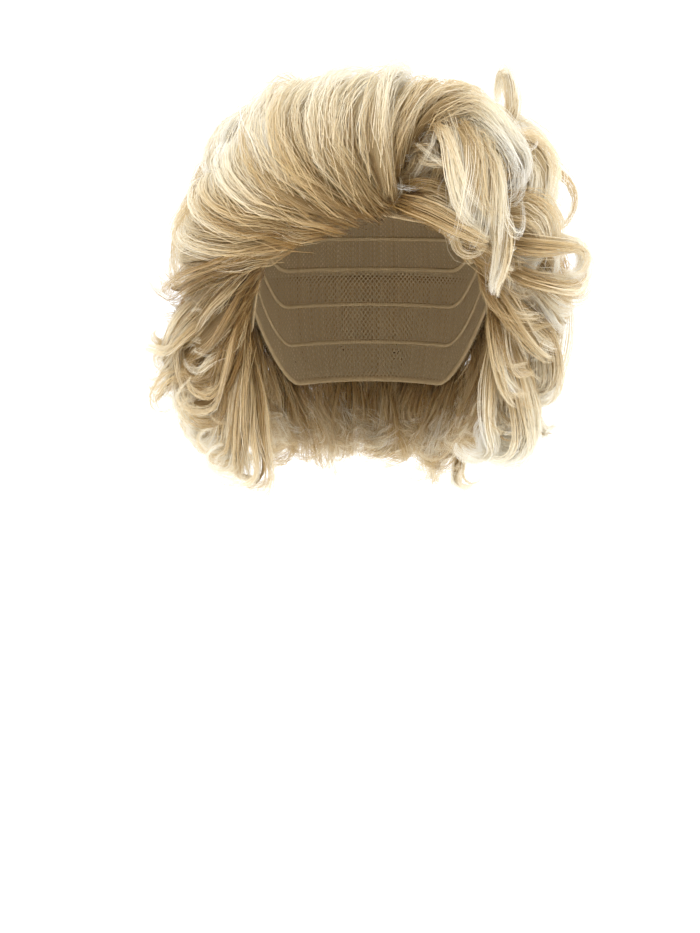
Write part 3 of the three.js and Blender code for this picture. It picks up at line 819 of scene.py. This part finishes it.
def split_locks(rows, tones, looseness):
    """Lines of the wisps with their carried frames, half widths, tones and fray."""
    wisps, owner, order = wisp_rows(rows, looseness)
    each = np.bincount(owner)[owner]
    points, first_normal = lock_lines(wisps, LINE_STEPS)
    _, normal, side = carry(points, first_normal)
    share = np.linspace(0, 1, LINE_STEPS)[None, :]
    spread = taper(share, GATHERED_TIP)
    wide = SPREAD_WIDE * order[:, None] * spread * wisps[:, [COLUMN["width"]]] / 2
    depth = random.uniform(*DEPTHS, (len(owner), 1))
    depth = np.where(random.random((len(owner), 1)) < UNDER_SHARE, -depth, depth)
    room = np.sqrt(np.maximum(0, 1 - order[:, None] ** 2))
    thick = SPREAD_THICK * depth * room * spread * (1 - THINNING * share)
    thick = thick * wisps[:, [COLUMN["thickness"]]] / 2
    phase = (random.uniform(0, 1, len(rows))[owner] + random.normal(0, WAVE_DELAY, len(owner)))[:, None]
    bends = random.uniform(*WAVES, len(rows))[owner][:, None]
    wave = looseness[owner][:, None] ** 2 * WAVE_HEIGHT * share
    wide = wide + wave * np.sin(2 * np.pi * (bends * share + phase))
    thick = thick + WAVE_FLATNESS * wave * np.cos(2 * np.pi * (bends * share + phase))
    points = points + side * wide[..., None] + normal * thick[..., None]
    points = keep_lift(points, SEAT_LIFT + WISP_CLEARANCE)
    _, normal, side = carry(points, first_normal)
    half_width = wisps[:, COLUMN["width"]] / each * random.uniform(*WISP_FULLNESS, len(owner))
    streaks = random.uniform(*STREAKS, len(rows))[owner] * order + random.uniform(0, 1, len(rows))[owner]
    # Wisps on top are paler and wisps below darker: painted shade.
    tone = tones[owner] + STREAK_TONE * np.sin(2 * np.pi * streaks) + DEPTH_PAINTED_SHADE * depth.ravel()
    tone = tone + random.normal(0, WISP_TONE, len(owner))
    return {
        "points": points, "normal": normal, "side": side, "half_width": half_width, "tone": tone,
        "fray": TIP_FRAY[0] + TIP_FRAY[1] * looseness[owner],
    }


print("waves of", WAVE_HEIGHT / MM, "mm where the hair is loose")

# %% [markdown]
# A strand follows its wisp with a small wave of its own. It starts a little after the root and ends a
# little before the tip, so that the ends fray, and one in ten leaves its wisp as a flyaway. More of its
# points lie near the tip, where the curl is. A hair system could grow such strands too, but it keeps them
# as curves, while plain arrays become a mesh in one step.

# %% Lines of the strands
STRAND_POINTS = 10
TIP_DETAIL = 0.55
LATEST_START = 0.35
FLYAWAY_SHARE = 0.10
FLYAWAY_SPREAD = (1.2, 2.4)
FLYAWAY_REACH = 8 * MM
FLYAWAY_WAVE = 1.8 * MM
STRAND_SPREAD = (0.05, 1.3)
STRAND_WAVE = 0.55 * MM
STRAND_WAVES = (0.8, 2.4)
STRAND_FLATNESS = 0.6
STRAND_CLEARANCE = 0.4 * MM


def at_share(line, share):
    """Values of lines with LINE_STEPS points at the given shares, (lines, steps, 3)."""
    place = np.clip(share, 0, 1) * (LINE_STEPS - 1)
    low = np.minimum(place.astype(int), LINE_STEPS - 2)
    part = (place - low)[..., None]
    index = np.arange(len(line))[:, None]
    return line[index, low] * (1 - part) + line[index, low + 1] * part


def strand_lines(wisps, owner):
    """Points of the strands, their carried frames and their shares of the wisps' length."""
    count = len(owner)
    begin = random.uniform(0, 1, (count, 1)) ** 2 * LATEST_START
    end = 1 - random.uniform(0, 1, (count, 1)) ** 2 * wisps["fray"][owner][:, None]
    step = np.linspace(0, 1, STRAND_POINTS)[None, :]
    share = begin + (end - begin) * step ** TIP_DETAIL
    points, normal, side = (at_share(wisps[name][owner], share) for name in ("points", "normal", "side"))
    angle = random.uniform(0, 2 * np.pi, (count, 1))
    flyaway = random.random((count, 1)) < FLYAWAY_SHARE
    far = random.uniform(*FLYAWAY_SPREAD, (count, 1))
    out = np.where(flyaway, far, np.sqrt(random.uniform(*STRAND_SPREAD, (count, 1))))
    spread = taper(share, GATHERED_TIP) * wisps["half_width"][owner][:, None] * out
    spread = np.minimum(spread, FLYAWAY_REACH)
    wave = np.where(flyaway, FLYAWAY_WAVE, STRAND_WAVE) * share
    bend = random.uniform(*STRAND_WAVES, (count, 1))
    sway = wave * np.sin(2 * np.pi * bend * share + random.uniform(0, 2 * np.pi, (count, 1)))
    heave = wave * np.sin(2 * np.pi * bend * share + random.uniform(0, 2 * np.pi, (count, 1)))
    wide = spread * np.cos(angle) + sway
    thick = STRAND_FLATNESS * spread * np.sin(angle) + heave
    points = points + side * wide[..., None] + normal * thick[..., None]
    points = keep_lift(points, SEAT_LIFT + STRAND_CLEARANCE)
    _, normal, side = carry(points, normal[:, 0])
    return points, normal, side, share


print("strands of", STRAND_POINTS, "points")

# %% [markdown]
# The strands give the hair its fine lines. A real fibre is under 0.1 mm thick and would vanish at this
# distance, so a strand here is a flat ribbon that stands for a few fibres that cling together. A ribbon
# takes a third of the triangles of the thinnest tube. Each has its own width, twist and tone, and narrows
# to its tip.

# %% Ribbons
RIBBON_HALF_WIDTH = 0.16 * MM
RIBBON_WIDTHS = (0.7, 1.3)
RIBBON_NARROWING = 0.75
RIBBON_TWIST = 0.7
RIBBON_TONE = (0.02, 0.065)
RIBBON_STREAKS = 70
MAP_EDGE = 0.02
MAP_STRAND = np.array([-0.003, 0.003])


def strands(wisps, each):
    """Points, faces, numbers and layout of the ribbons, a number of them on each wisp."""
    count = len(wisps["tone"]) * each
    owner = np.repeat(np.arange(len(wisps["tone"])), each)
    points, normal, side, share = strand_lines(wisps, owner)
    narrow = 1 - RIBBON_NARROWING * np.linspace(0, 1, STRAND_POINTS)[None, :] ** 2
    twist = random.normal(0, RIBBON_TWIST, (count, 1, 1))
    half = RIBBON_HALF_WIDTH * random.uniform(*RIBBON_WIDTHS, (count, 1)) * narrow
    reach = (side * np.cos(twist) + normal * np.sin(twist)) * half[..., None]
    made = np.stack([points - reach, points + reach], 2)
    tone = (wisps["tone"][owner] + random.normal(*RIBBON_TONE, count))[:, None, None]
    numbers = {"along": share[..., None], "tone": tone, "across": RIBBON_STREAKS * tone}
    first = (np.arange(count) * STRAND_POINTS * 2)[:, None, None]
    faces = (grid_faces(STRAND_POINTS, 2, False)[None] + first).reshape(-1, 4)
    u = MAP_EDGE + (1 - 2 * MAP_EDGE) * np.clip(tone, 0, 1) + MAP_STRAND
    layout = np.stack(np.broadcast_arrays(u, share[..., None]), -1)
    return made.reshape(-1, 3), [faces], at_each_point(numbers, made.shape[:3]), layout.reshape(-1, 2)


print("each strand has", triangles([grid_faces(STRAND_POINTS, 2, False)]), "triangles")

# %% [markdown]
# Under the locks lies the sewn backing of each group, a thin curved strip of short hair close to the cap.
# It closes the view between the roots. It is a grid over the head form with an outer and an inner face and
# walls between them, in nearly the place that it has in the solids, and its streaks run down the head as
# combed roots do. Its dark tan is partly the colour of short roots and partly painted shade inside the cap
# and between the roots, and it darkens towards its top edge.

# %% Sewn backings
RIM = [(0, 29), (30, 26), (50, 14), (75, -10), (98, -4), (135, -31), (180, -31)]
BACKING_THICKNESS = 2.6 * MM
RIM_MARGIN = 1.5
CROWN_EDGE = 52.7
BACKING_STEP = 3.0
BACKING_SHADED_ALONG = 0.16
BACKING_ALONG_GAIN = 0.10
BACKING_TONE = 0.50
BACKING_STREAKS = 2.2
BACKINGS = {
    "quiff": {"az": (-46, 12), "top": CROWN_EDGE},
    "fringe": {"az": (12.1, 46), "top": CROWN_EDGE},
    "crown": {"az": (0, 360), "top": 89, "low": 52.76},
    "left_side": {"az": (46.1, 110), "top": CROWN_EDGE},
    "right_side": {"az": (-110, -46.1), "top": CROWN_EDGE},
    "back": {"az": (110.1, 249.9), "top": CROWN_EDGE, "low": 2},
    "nape": {"az": (110.1, 249.9), "top": 1.94},
}


def rim_elevation(az):
    """Elevation of the cap's rim in degrees, both sides alike."""
    turn = np.abs((np.asarray(az, float) + 180) % 360 - 180)
    places, levels = np.array(RIM, float).T
    after = np.clip(np.searchsorted(places, turn), 1, len(places) - 1)
    share = (turn - places[after - 1]) / (places[after] - places[after - 1])
    return levels[after - 1] + (levels[after] - levels[after - 1]) * share ** 2 * (3 - 2 * share)


def backing(zone):
    """Points, faces and numbers of one group's backing."""
    row = BACKINGS[zone]
    closed = row["az"][1] - row["az"][0] == 360
    columns = int(np.ceil((row["az"][1] - row["az"][0]) / BACKING_STEP)) + (0 if closed else 1)
    az = np.linspace(*row["az"], columns, endpoint=not closed)
    low = np.full(columns, row["low"]) if "low" in row else rim_elevation(az) + RIM_MARGIN
    rows = int(np.ceil((row["top"] - low.min()) / BACKING_STEP)) + 1
    share = np.linspace(0, 1, rows)[:, None]
    el = low + (row["top"] - low) * share
    az = np.broadcast_to(az, el.shape)
    inner = on_head(az, el, np.full(el.shape, SEAT_LIFT))
    outer = on_head(az, el, np.full(el.shape, SEAT_LIFT + BACKING_THICKNESS))
    points = np.concatenate([outer.reshape(-1, 3), inner.reshape(-1, 3)])
    grid = grid_faces(rows, columns, closed)
    index = np.arange(rows * columns).reshape(rows, columns)
    edges = [index[0], index[-1][::-1]] if closed else [
        np.concatenate([index[0], index[1:, -1], index[-1, -2::-1], index[-2:0:-1, 0]])]
    walls = []
    for edge in edges:
        after = np.roll(edge, -1)
        walls.append(np.stack([after, edge, edge + index.size, after + index.size], -1))
    faces = np.concatenate([grid, grid[:, ::-1] + index.size, *walls])
    # A low share along the fibre keeps the backing dark: partly root colour, partly painted shade inside
    # the cap.
    along = BACKING_SHADED_ALONG + (1 - share) * BACKING_ALONG_GAIN * np.ones_like(el)
    numbers = {
        "along": np.tile(along, (2, 1)).ravel(),
        "tone": np.full(len(points), BACKING_TONE),
        "across": np.tile(az * BACKING_STREAKS, (2, 1)).ravel(),
    }
    return points, faces, numbers


print("backings:", ", ".join(BACKINGS))

# %% [markdown]
# The bodies of a group and its backing are joined into one mesh, because they are sewn together on a real
# wig. Many small objects would also slow the scene down. The map for the bake gives the backing a narrow
# strip, and each lock a strip of its own with the root at the bottom and the tip at the top.

# %% Joined bodies and backing
BACKING_STRIP = 0.04
STRIP_GAP = 0.05


def strip_layout(tubes, rings, sides, low, high):
    """Places on the bake map: a strip for each tube between two edges."""
    across = (np.arange(sides) + 0.5) / sides
    inside = STRIP_GAP + (1 - 2 * STRIP_GAP) * across
    u = low + (high - low) * (np.arange(tubes)[:, None, None] + inside) / tubes
    v = MAP_EDGE + (1 - 2 * MAP_EDGE) * np.linspace(0, 1, rings)[None, :, None]
    return np.stack(np.broadcast_arrays(u, v), -1).reshape(-1, 2)


def gather(parts):
    """Joins points, faces, numbers and layouts of several parts into one."""
    points = np.concatenate([part[0].reshape(-1, 3) for part in parts])
    faces, first = [], 0
    for part in parts:
        faces += [array + first for array in part[1]]
        first += part[0].size // 3
    numbers = {name: np.concatenate([part[2][name].ravel() for part in parts]) for name in parts[0][2]}
    return points, faces, numbers, np.concatenate([part[3] for part in parts])


def sewn_locks(zone, rows, tones):
    """Backing and bodies of one group, joined."""
    base, base_faces, base_numbers = backing(zone)
    base_layout = np.stack([
        BACKING_STRIP * (base[:, 0] - base[:, 0].min()) / np.ptp(base[:, 0]),
        (base[:, 2] - base[:, 2].min()) / np.ptp(base[:, 2]),
    ], -1)
    bodies, body_numbers = lock_bodies(rows, tones)
    size = bodies.shape[:3]
    return gather([
        (base, [base_faces], base_numbers, base_layout),
        (bodies, tube_faces(*size), body_numbers, strip_layout(*size, BACKING_STRIP, 1)),
    ])


print("a narrow strip of", BACKING_STRIP, "of the map for each backing")

# %% [markdown]
# Now each group is put together. Its backing and bodies are one piece, which stands for the group's solid,
# and its strands are a second piece that lies on it. Quiff and crown are the palest groups and the right
# side is the darkest, partly as the hair's own tone and partly as painted light: paler on top, and painted
# shade low down and under the quiff's overhang. Crown, back and nape take fewer strands on each wisp,
# because their wide locks lie over one another.

# %% Groups of hair
# Tone of each group: partly the hair's own tone, partly painted light, paler on top and darker low down.
ZONE_TONES_AND_SHADE = {
    "quiff": 0.66, "fringe": 0.57, "crown": 0.66, "left_side": 0.55, "right_side": 0.39, "back": 0.60,
    "nape": 0.44,
}
LOCK_TONE = 0.06
# Fine hair is darker than the locks: partly its own tone, partly painted shade at the roots and hairline.
FINE_TONE_AND_SHADE = 0.27
STRANDS_PER_WISP = 44
BACK_STRANDS_PER_WISP = 34
FINE_STRANDS_PER_WISP = 27
BACK_ZONES = ["crown", "back", "nape"]

total = 0
for zone, zone_tone_and_shade in ZONE_TONES_AND_SHADE.items():
    chosen = lock_zones == zone
    rows = lock_rows[chosen]
    tones = zone_tone_and_shade + lock_tones[chosen] + random.normal(0, LOCK_TONE, len(rows))
    wisps = split_locks(rows, tones, lock_loose[chosen])
    body = sewn_locks(zone, rows, tones)
    locks = add_piece(zone + "_locks", *body, lock_finish)
    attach(locks, "root")
    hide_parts(zone)
    sets = [strands(wisps, BACK_STRANDS_PER_WISP if zone in BACK_ZONES else STRANDS_PER_WISP)]
    if zone in fine_zones:
        fine = fine_zones == zone
        fine_wisps = split_locks(fine_rows[fine], FINE_TONE_AND_SHADE + fine_tones[fine], fine_loose[fine])
        sets.append(strands(fine_wisps, FINE_STRANDS_PER_WISP))
    fibres = gather(sets)
    loose = add_piece(zone + "_strands", *fibres, strand_finish)
    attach(loose, "root")
    counts = [triangles(body[1]), triangles(fibres[1])]
    total += sum(counts)
    print(zone, len(rows), "locks", len(wisps["tone"]), "wisps:", *counts)
print("hair has", total, "triangles")

# %% [markdown]
# The cap is a thin stretch net. Its threads cross in diamonds, and the holes between them are cut by the
# alpha of its finish, which costs no triangles. The two families of slanted threads are the fractions of
# the sum and the difference of two numbers that each point carries: millimetres round and down the cap.

# %% Net
NET_CELL = 3.4
THREAD_SHARE = 0.30

net_finish, start = new_finish("stretch_net")
around = start.node("Attribute", {"attribute_name": "around"}, {}).output("Fac")
down = start.node("Attribute", {"attribute_name": "down"}, {}).output("Fac")


def thread(slant):
    """1 on the middle of each thread of one family and 0 halfway between two."""
    part = slant.math("FRACT", slant)
    return 1 - 2 * part.math("ABSOLUTE", part - 0.5)


rising = thread((around + down) * (1 / NET_CELL))
falling = thread((around - down) * (1 / NET_CELL))
thickest = rising.math("MAXIMUM", rising, falling)
cover = thickest.math("GREATER_THAN", thickest, 1 - THREAD_SHARE)
twist = start.node("TexNoise", {}, {"Scale": 900.0, "Detail": 2.0})
start.node("OutputMaterial", {}, {"Surface": start.node("BsdfPrincipled", {}, {
    "Base Color": twist.blend(rgb(0.34, 0.235, 0.115), rgb(0.56, 0.43, 0.25)),
    "Roughness": 0.8, "Alpha": cover,
    "Normal": start.node("Bump", {}, {"Height": thickest, "Strength": 0.6, "Distance": 0.0006})})})
print("net cells of", NET_CELL, "mm")

# %% [markdown]
# The cap's shell is a grid from the rim to the crown, with an outer and an inner face. It could be a dome
# that is cut at the rim, but a grid whose lowest row is the rim needs no cut and keeps the net straight.

# %% Cap
CAP_COLUMNS = 120
CAP_ROWS = 28
CAP_TOP = 0.985
NET_LOW = 0.5 * MM
NET_HIGH = 1.3 * MM

az = np.linspace(0, 360, CAP_COLUMNS, endpoint=False)
up = np.linspace(0, CAP_TOP, CAP_ROWS)[:, None]
el = rim_elevation(az) + (90 - rim_elevation(az)) * up
wide_az = np.broadcast_to(az, el.shape)
cap_numbers = {
    "around": np.tile(np.radians(wide_az) * (HEAD_HALF_WIDTH + HEAD_HALF_LENGTH) / (2 * MM), (2, 1)),
    "down": np.tile(np.radians(el) * HEAD_ABOVE / MM, (2, 1)),
}
net_grid = grid_faces(CAP_ROWS, CAP_COLUMNS, True)
cap_points = np.concatenate([
    on_head(wide_az, el, np.full(el.shape, NET_HIGH)).reshape(-1, 3),
    on_head(wide_az, el, np.full(el.shape, NET_LOW)).reshape(-1, 3),
])
cap_faces = [net_grid, net_grid[:, ::-1] + el.size]
map_half = np.repeat([0.0, 0.5], el.size)
cap_layout = np.stack([
    np.tile(wide_az.ravel() / 360, 2),
    map_half + (0.5 - MAP_EDGE) * np.tile(np.repeat(up, CAP_COLUMNS), 2),
], -1)
cap = add_piece("net_cap", cap_points, cap_faces, cap_numbers, cap_layout, net_finish)
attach(cap, "root")
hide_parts("wig_cap")
print("cap:", len(cap_points), "points")

# %% [markdown]
# Sewn rows run round the cap at equal shares of the way up, as the machine sews them, and a folded band
# binds the rim. Both are flat tubes closed to a ring along such a line. They are woven tape, so their
# finish has fine crosswise ribs and a slight change of colour.

# %% Sewn rows and bound rim
TAPE_SIDES = 8
TAPE_STEPS = 120
RIB_PITCH = 1.2
SEWN_ROWS = 9
SEWN_SHARES = (0.1, 0.88)
ROW_HALF_HEIGHT = 1.5 * MM
ROW_HALF_DEPTH = 0.6 * MM
BAND_HALF_HEIGHT = 2.6 * MM
BAND_HALF_DEPTH = 1.0 * MM

tape_finish, start = new_finish("woven_tape")
around = start.node("Attribute", {"attribute_name": "around"}, {}).output("Fac")
part = around.math("FRACT", around * (1 / RIB_PITCH))
rib = 1 - 2 * part.math("ABSOLUTE", part - 0.5)
wear = start.node("TexNoise", {}, {"Scale": 60.0, "Detail": 3.0})
start.node("OutputMaterial", {}, {"Surface": start.node("BsdfPrincipled", {}, {
    "Base Color": (0.7 * wear + 0.3 * rib).blend(rgb(0.30, 0.20, 0.09), rgb(0.54, 0.41, 0.23)),
    "Roughness": 0.85,
    "Normal": start.node("Bump", {}, {"Height": rib, "Strength": 0.5, "Distance": 0.0004})})})


def tape(name, shares, lift, half_height, half_depth):
    """Tapes round the cap at shares of the way from its rim to its crown."""
    az = np.linspace(0, 360, TAPE_STEPS, endpoint=False)
    shares = np.asarray(shares)[:, None]
    el = rim_elevation(az) + (90 - rim_elevation(az)) * shares
    points = on_head(np.broadcast_to(az, el.shape), el, np.full(el.shape, lift))
    along = unit(np.roll(points, -1, 1) - np.roll(points, 1, 1))
    outward = unit(points - HEAD_MIDDLE)
    normal = unit(outward - (outward * along).sum(-1, keepdims=True) * along)
    side = np.cross(normal, along)
    flat = np.full(el.shape, 1.0)
    made = tube_points(points, normal, side, flat * half_height, flat * half_depth, np.ones(TAPE_SIDES))
    start = (np.arange(len(shares)) * TAPE_STEPS * TAPE_SIDES)[:, None, None]
    ring = grid_faces(TAPE_STEPS + 1, TAPE_SIDES, True) % (TAPE_STEPS * TAPE_SIDES)
    faces = (ring[None] + start).reshape(-1, 4)
    steps = length(np.diff(points, axis=1, prepend=points[:, :1]))[..., 0]
    walk = steps.cumsum(1) / MM
    numbers = at_each_point({"around": walk[..., None]}, made.shape[:3])
    layout = strip_layout(len(shares), TAPE_STEPS, TAPE_SIDES, 0, 1)
    piece = add_piece(name, made.reshape(-1, 3), [faces], numbers, layout, tape_finish)
    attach(piece, "root")
    return piece


tape("sewn_rows", np.linspace(*SEWN_SHARES, SEWN_ROWS), NET_LOW, ROW_HALF_HEIGHT, ROW_HALF_DEPTH)
tape("bound_rim", [0.0], NET_LOW + BAND_HALF_DEPTH / 2, BAND_HALF_HEIGHT, BAND_HALF_DEPTH)
print("tapes:", SEWN_ROWS, "rows and the rim")
